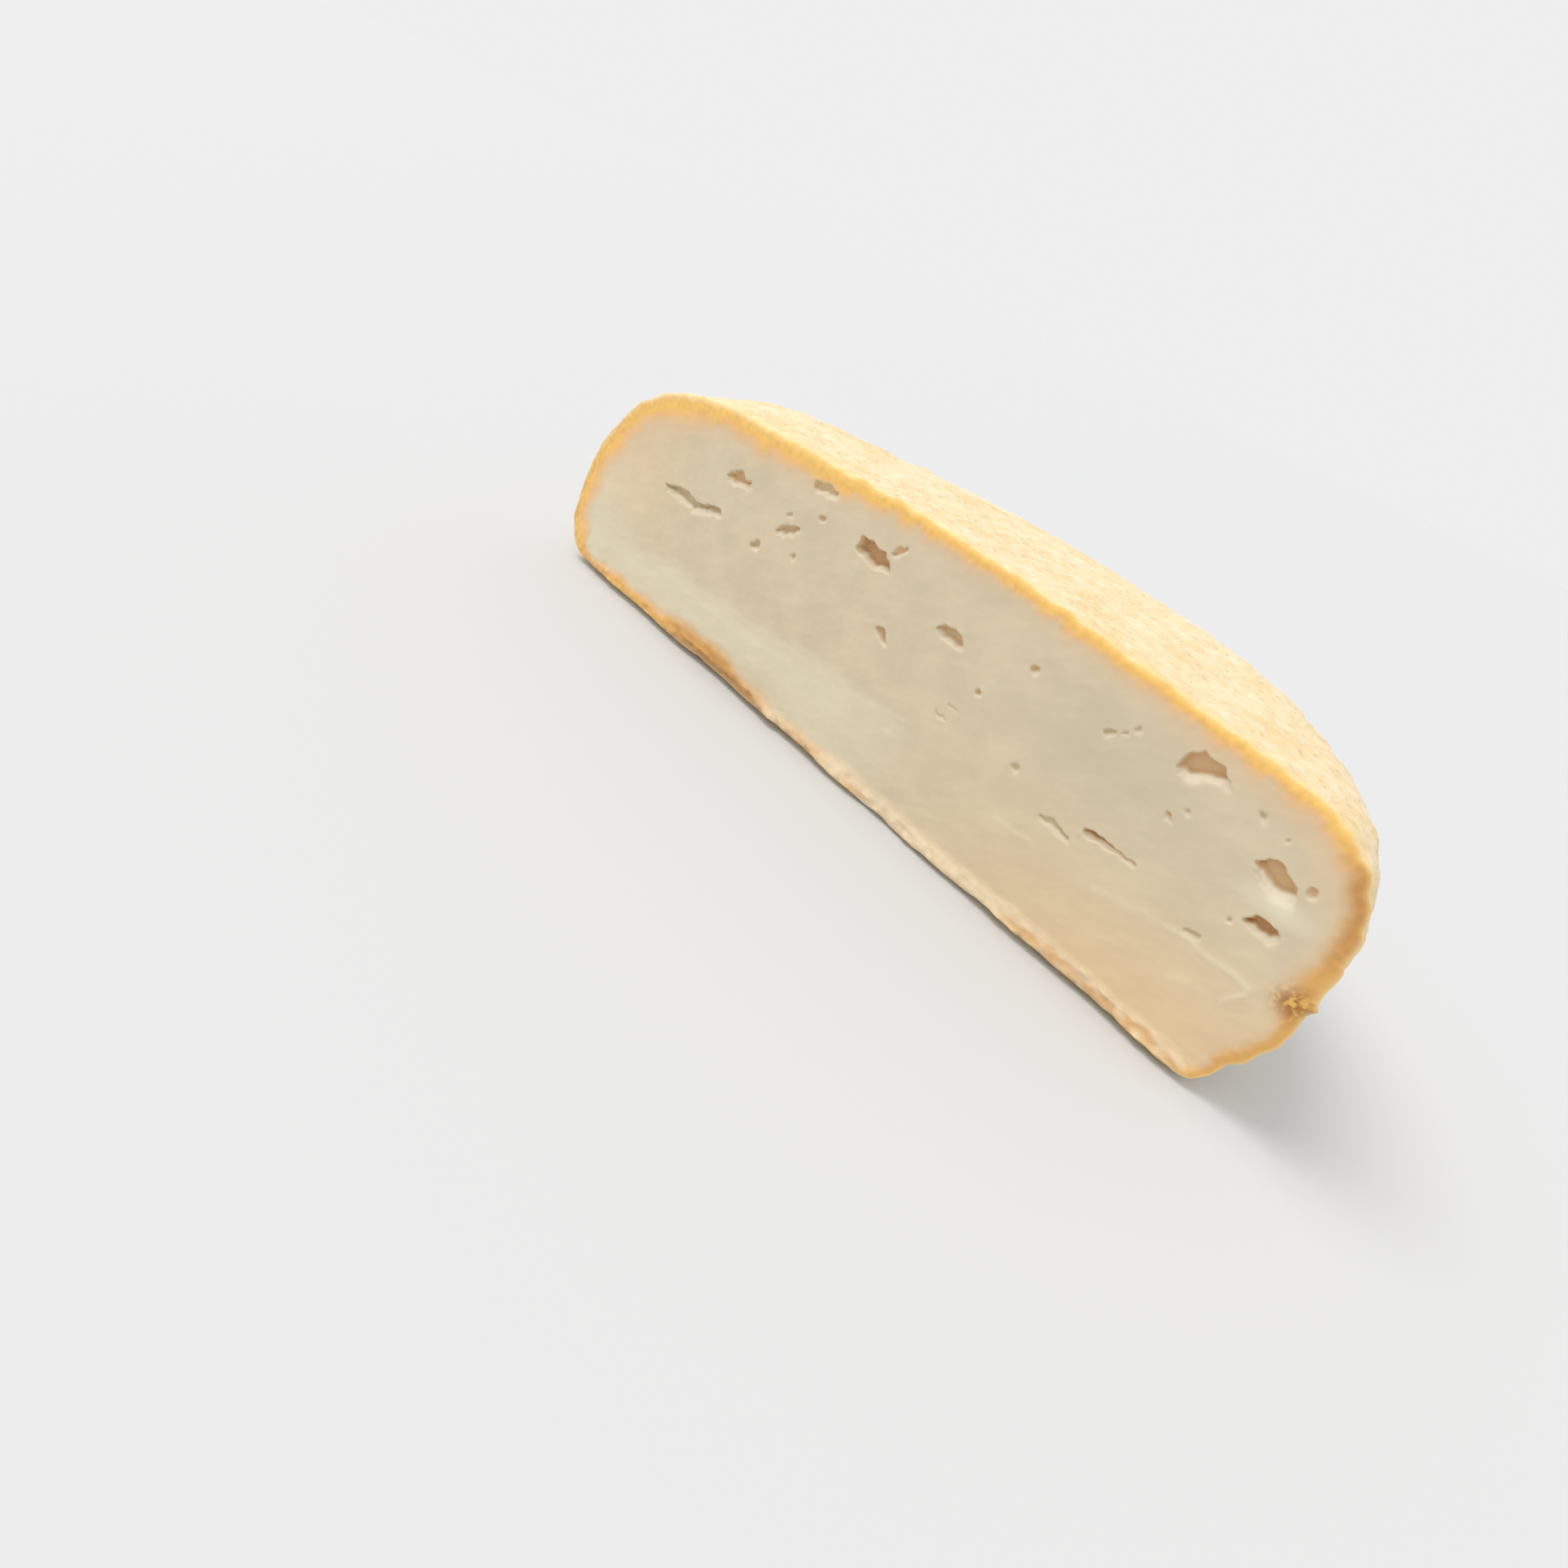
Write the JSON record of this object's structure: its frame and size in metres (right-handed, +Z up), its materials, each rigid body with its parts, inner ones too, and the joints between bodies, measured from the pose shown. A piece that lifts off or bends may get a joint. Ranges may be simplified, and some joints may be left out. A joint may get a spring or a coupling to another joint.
{
  "type": "goat cheese half wheel",
  "caption": "Half of a small semi-hard goat cheese wheel with a washed, cloth-marked rind, lying flat, its knife-cut face showing scattered eyes.",
  "frame": {"origin": "middle of the bounding box, at the base that the cheese rests on", "axes": "+Z up from the flat base, +X along the cut, the knife-cut face looks towards -Y and the round rind towards +Y"},
  "size_m": [0.1796, 0.0908, 0.0518],
  "materials": {
    "cheese": "matt cream rind and ivory paste"
  },
  "bodies": {
    "root": {"cheese_half": "cheese"}
  },
  "joints": []
}
